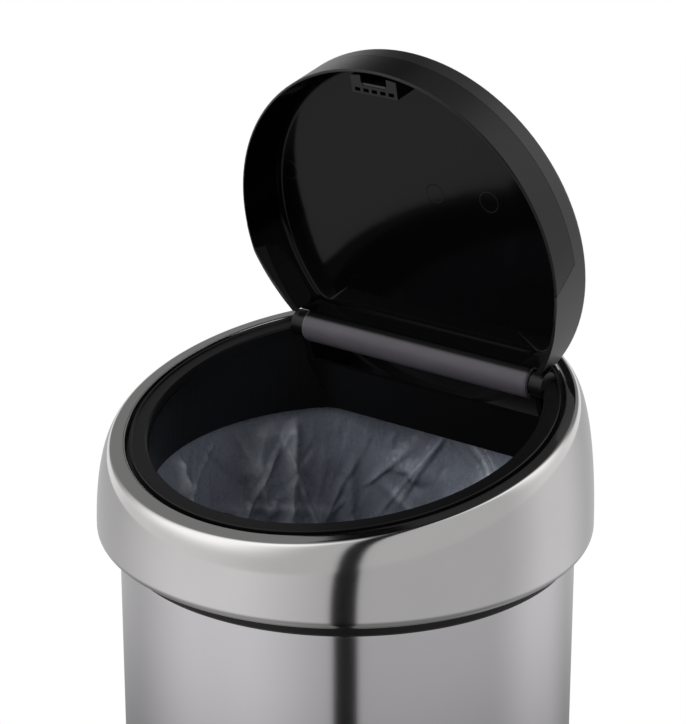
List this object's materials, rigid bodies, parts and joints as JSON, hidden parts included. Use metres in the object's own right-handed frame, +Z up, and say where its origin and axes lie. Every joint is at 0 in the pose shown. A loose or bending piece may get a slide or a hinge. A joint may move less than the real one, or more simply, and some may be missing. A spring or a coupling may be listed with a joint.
{
  "type": "countertop touch bin",
  "caption": "Round steel countertop bin with a slanted bright rim ring, black touch lid on a sprung hinge, inner bucket and film bag.",
  "frame": {"origin": "centre of the foot on the table", "axes": "+Z up, front with the low side of the slanted opening at -Y, hinge at +Y, X along the hinge"},
  "size_m": [0.1676, 0.1676, 0.3628],
  "materials": {
    "satin_steel": "satin, fine upright brushing",
    "bright_steel": "polished with a faint satin",
    "pin_steel": "plain",
    "spring_wire": "drawn wire",
    "black_plastic": "satin",
    "gloss_black": "gloss inside, satin rim",
    "soft_ring": "matte",
    "bucket_plastic": "matte",
    "bag_film": "thin film, slightly see-through"
  },
  "bodies": {
    "body": {"body_shell": "satin_steel", "base_plate": "satin_steel", "base_ring": "black_plastic", "non_slip_ring": "soft_ring"},
    "top_unit": {"rim_ring": "bright_steel", "top_frame": "black_plastic", "collar": "black_plastic", "hinge_pin_left": "pin_steel", "hinge_pin_right": "pin_steel", "lid_spring_left": "spring_wire", "lid_spring_right": "spring_wire", "latch_housing": "black_plastic", "latch_spring": "spring_wire", "latch_screws": "pin_steel"},
    "lid": {"lid_cap": "black_plastic", "lid_liner": "gloss_black", "latch_strike": "pin_steel"},
    "latch": {"latch_plunger": "black_plastic"},
    "bucket": {"inner_bucket": "bucket_plastic", "bin_bag": "bag_film"}
  },
  "joints": [
    {"name": "top_lift", "type": "slide", "parent": "body", "child": "top_unit", "axis": [0, 0, 1], "range_m": [0, 0.3]},
    {"name": "lid_hinge", "type": "hinge", "parent": "top_unit", "child": "lid", "pos_m": [0, 0.04084, 0.25466], "axis": [1, 0, 0], "range_deg": [0, 91.2], "stiffness_Nm_per_rad": 0.03, "springref_deg": -34.38},
    {"name": "latch_press", "type": "slide", "parent": "top_unit", "child": "latch", "axis": [0, 0, -1], "range_m": [0, 0.0025], "stiffness_N_per_m": 150, "springref_m": -0.002, "deforming": ["latch_spring"]},
    {"name": "bucket_lift", "type": "slide", "parent": "body", "child": "bucket", "axis": [0, 0, 1], "range_m": [0, 0.225]}
  ],
  "couplings": [
    {"joint": "bucket_lift", "follows": "top_lift", "ratio": 0.75}
  ]
}
